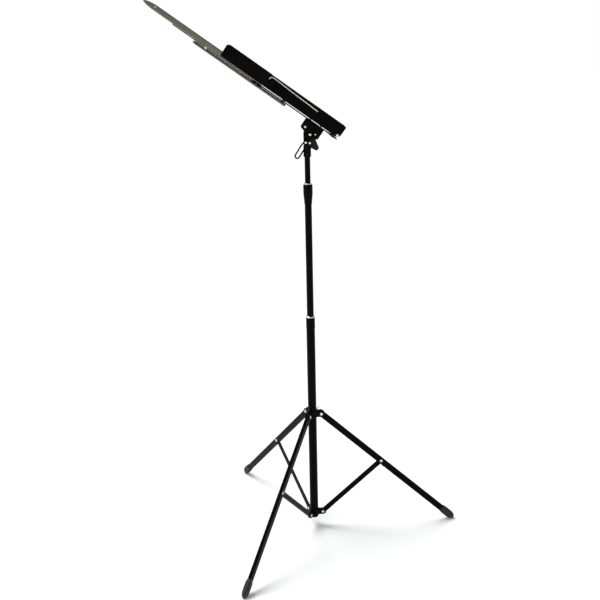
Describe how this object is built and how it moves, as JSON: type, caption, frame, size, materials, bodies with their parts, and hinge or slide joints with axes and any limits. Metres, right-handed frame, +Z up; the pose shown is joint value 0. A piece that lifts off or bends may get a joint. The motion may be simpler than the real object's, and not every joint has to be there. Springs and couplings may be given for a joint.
{
  "type": "music stand",
  "caption": "Folding music stand: tripod of channel legs on a sliding spider, telescoping mast, tilting head and a desk frame of swinging arms, shown with its desk folded shut.",
  "frame": {"origin": "on the floor, at the centre of the bounding box of the stand as modelled", "axes": "+Z up the mast; +X towards the reader; +Y to the reader right-hand side of the folded desk"},
  "size_m": [0.6412, 0.5708, 1.1598],
  "materials": {
    "black_paint": "semi-gloss black baked paint on sheet steel and tube",
    "nickel": "bright nickel plate",
    "nickel_strip": "nickel-plated strip steel, satin and a little dulled",
    "rubber": "matt moulded rubber",
    "black_plastic": "matt moulded plastic"
  },
  "bodies": {
    "lower_mast": {"lower_tube": "black_paint", "tube_end_plug": "black_plastic", "lower_clutch_bush": "black_plastic", "lower_clutch_ring": "nickel", "lower_spider": "black_paint", "brace_rivet_right": "nickel", "brace_rivet_rear": "nickel", "brace_rivet_front": "nickel"},
    "brace_right": {"brace_right": "black_paint"},
    "leg_right": {"leg_right": "black_paint", "foot_right": "rubber", "leg_rivet_right": "nickel"},
    "brace_rear": {"brace_rear": "black_paint"},
    "leg_rear": {"leg_rear": "black_paint", "foot_rear": "rubber", "leg_rivet_rear": "nickel"},
    "brace_front": {"brace_front": "black_paint"},
    "leg_front": {"leg_front": "black_paint", "foot_front": "rubber", "leg_rivet_front": "nickel"},
    "upper_spider": {"upper_spider": "black_paint"},
    "thumb_screw": {"spider_thumb_screw": "nickel"},
    "mid_mast": {"mid_tube": "black_paint", "mid_tube_guide": "black_plastic", "upper_clutch_sleeve": "black_paint", "upper_clutch_bush": "black_plastic", "upper_clutch_ring": "nickel"},
    "top_mast": {"top_tube": "black_paint"},
    "head": {"head_fork": "black_paint", "fork_rivet": "nickel", "tilt_bolt": "nickel"},
    "tilt_knob": {"tilt_knob": "black_plastic"},
    "loop_lever": {"loop_lever": "black_paint", "pinch_screw": "nickel"},
    "desk": {"spine": "black_paint", "desk_bracket": "black_paint", "bracket_rivet_lower": "nickel", "bracket_rivet_upper": "nickel", "bracket_cross_rivet_lower": "nickel", "bracket_cross_rivet_upper": "nickel", "ledge_pivot_left": "nickel", "ledge_pivot_right": "nickel", "upper_pivot_left": "nickel", "upper_pivot_right": "nickel"},
    "ledge_arm_left": {"ledge_arm_left": "black_paint", "leaf_rivet_left": "black_paint", "side_bar_lower_rivet_left": "nickel"},
    "side_bar_left": {"side_bar_left": "nickel_strip"},
    "upper_arm_left": {"upper_arm_left": "nickel_strip", "side_bar_upper_rivet_left": "nickel"},
    "ledge_leaf_left": {"ledge_leaf_left": "black_paint"},
    "page_wire_left": {"page_wire_left": "nickel"},
    "ledge_arm_right": {"ledge_arm_right": "black_paint", "leaf_rivet_right": "black_paint", "side_bar_lower_rivet_right": "nickel"},
    "side_bar_right": {"side_bar_right": "nickel_strip"},
    "upper_arm_right": {"upper_arm_right": "nickel_strip", "side_bar_upper_rivet_right": "nickel"},
    "ledge_leaf_right": {"ledge_leaf_right": "black_paint"},
    "page_wire_right": {"page_wire_right": "nickel"}
  },
  "joints": [
    {"name": "brace_right_fold", "type": "hinge", "parent": "lower_mast", "child": "brace_right", "pos_m": [0.01417, 0.00839, 0.033], "axis": [0.0471, -0.9989, 0], "range_deg": [0, 43]},
    {"name": "leg_right_fold", "type": "hinge", "parent": "brace_right", "child": "leg_right", "pos_m": [0.14859, 0.01473, 0.15425], "axis": [-0.0471, 0.9989, 0], "range_deg": [0, 86]},
    {"name": "brace_rear_fold", "type": "hinge", "parent": "lower_mast", "child": "brace_rear", "pos_m": [-0.01662, 0.02428, 0.033], "axis": [0.8415, 0.5402, 0], "range_deg": [0, 43]},
    {"name": "leg_rear_fold", "type": "hinge", "parent": "brace_rear", "child": "leg_rear", "pos_m": [-0.08932, 0.13752, 0.15425], "axis": [-0.8415, -0.5402, 0], "range_deg": [0, 86]},
    {"name": "brace_front_fold", "type": "hinge", "parent": "lower_mast", "child": "brace_front", "pos_m": [-0.01498, -0.01033, 0.033], "axis": [-0.8886, 0.4587, 0], "range_deg": [0, 43]},
    {"name": "leg_front_fold", "type": "hinge", "parent": "brace_front", "child": "leg_front", "pos_m": [-0.0767, -0.12991, 0.15425], "axis": [0.8886, -0.4587, 0], "range_deg": [0, 86]},
    {"name": "spider_slide", "type": "slide", "parent": "lower_mast", "child": "upper_spider", "axis": [0, 0, 1], "range_m": [0, 0.11843]},
    {"name": "thumb_screw_turn", "type": "hinge", "parent": "upper_spider", "child": "thumb_screw", "pos_m": [0.00107, 0.02077, 0.2755], "axis": [0.4587, 0.8886, 0], "continuous": true},
    {"name": "mid_tube_slide", "type": "slide", "parent": "lower_mast", "child": "mid_mast", "axis": [0, 0, 1], "range_m": [-0.24, 0.05]},
    {"name": "top_tube_slide", "type": "slide", "parent": "mid_mast", "child": "top_mast", "axis": [0, 0, 1], "range_m": [-0.053, 0.215]},
    {"name": "head_swivel", "type": "hinge", "parent": "top_mast", "child": "head", "pos_m": [-0.00581, 0.00745, 0.857], "axis": [0, 0, 1], "continuous": true},
    {"name": "tilt_knob_turn", "type": "hinge", "parent": "head", "child": "tilt_knob", "pos_m": [0.00069, 0.02134, 0.892], "axis": [0, 1, 0], "range_deg": [-10, 50]},
    {"name": "loop_lever_turn", "type": "hinge", "parent": "head", "child": "loop_lever", "pos_m": [-0.00861, -0.00305, 0.876], "axis": [0, 1, 0], "range_deg": [-20, 60]},
    {"name": "desk_tilt", "type": "hinge", "parent": "head", "child": "desk", "pos_m": [0.00069, 0.00745, 0.892], "axis": [0, 1, 0], "range_deg": [-40, 40]},
    {"name": "ledge_arm_left_swing", "type": "hinge", "parent": "desk", "child": "ledge_arm_left", "pos_m": [0.04771, -0.00805, 0.8906], "axis": [0.5835, 0, 0.8121], "range_deg": [0, 90]},
    {"name": "upper_arm_left_swing", "type": "hinge", "parent": "desk", "child": "upper_arm_left", "pos_m": [-0.10369, -0.00805, 0.99693], "axis": [0.5835, 0, 0.8121], "range_deg": [0, 90]},
    {"name": "side_bar_left_swing", "type": "hinge", "parent": "ledge_arm_left", "child": "side_bar_left", "pos_m": [-0.05394, -0.00805, 0.9565], "axis": [0.5835, 0, 0.8121], "range_deg": [-90, 0]},
    {"name": "ledge_leaf_left_swing", "type": "hinge", "parent": "ledge_arm_left", "child": "ledge_leaf_left", "pos_m": [-0.07829, -0.01706, 0.99801], "axis": [0, 1, 0], "range_deg": [0, 180]},
    {"name": "page_wire_left_swing", "type": "hinge", "parent": "ledge_arm_left", "child": "page_wire_left", "pos_m": [-0.07829, -0.01905, 0.99801], "axis": [0, -1, 0], "range_deg": [0, 150]},
    {"name": "ledge_arm_right_swing", "type": "hinge", "parent": "desk", "child": "ledge_arm_right", "pos_m": [0.04771, 0.02295, 0.8906], "axis": [-0.5835, 0, -0.8121], "range_deg": [0, 90]},
    {"name": "upper_arm_right_swing", "type": "hinge", "parent": "desk", "child": "upper_arm_right", "pos_m": [-0.10369, 0.02295, 0.99693], "axis": [-0.5835, 0, -0.8121], "range_deg": [0, 90]},
    {"name": "side_bar_right_swing", "type": "hinge", "parent": "ledge_arm_right", "child": "side_bar_right", "pos_m": [-0.05394, 0.02295, 0.9565], "axis": [-0.5835, 0, -0.8121], "range_deg": [-90, 0]},
    {"name": "ledge_leaf_right_swing", "type": "hinge", "parent": "ledge_arm_right", "child": "ledge_leaf_right", "pos_m": [-0.07829, 0.03195, 0.99801], "axis": [0, 1, 0], "range_deg": [0, 180]},
    {"name": "page_wire_right_swing", "type": "hinge", "parent": "ledge_arm_right", "child": "page_wire_right", "pos_m": [-0.07829, 0.03395, 0.99801], "axis": [0, -1, 0], "range_deg": [0, 150]}
  ],
  "couplings": [
    {"joint": "leg_right_fold", "follows": "brace_right_fold", "ratio": 2},
    {"joint": "brace_rear_fold", "follows": "brace_right_fold", "ratio": 1},
    {"joint": "leg_rear_fold", "follows": "brace_right_fold", "ratio": 2},
    {"joint": "brace_front_fold", "follows": "brace_right_fold", "ratio": 1},
    {"joint": "leg_front_fold", "follows": "brace_right_fold", "ratio": 2},
    {"joint": "spider_slide", "follows": "brace_right_fold", "m_per_rad": 0.15777},
    {"joint": "upper_arm_left_swing", "follows": "ledge_arm_left_swing", "ratio": 1},
    {"joint": "side_bar_left_swing", "follows": "ledge_arm_left_swing", "ratio": -1},
    {"joint": "upper_arm_right_swing", "follows": "ledge_arm_right_swing", "ratio": 1},
    {"joint": "side_bar_right_swing", "follows": "ledge_arm_right_swing", "ratio": -1}
  ]
}
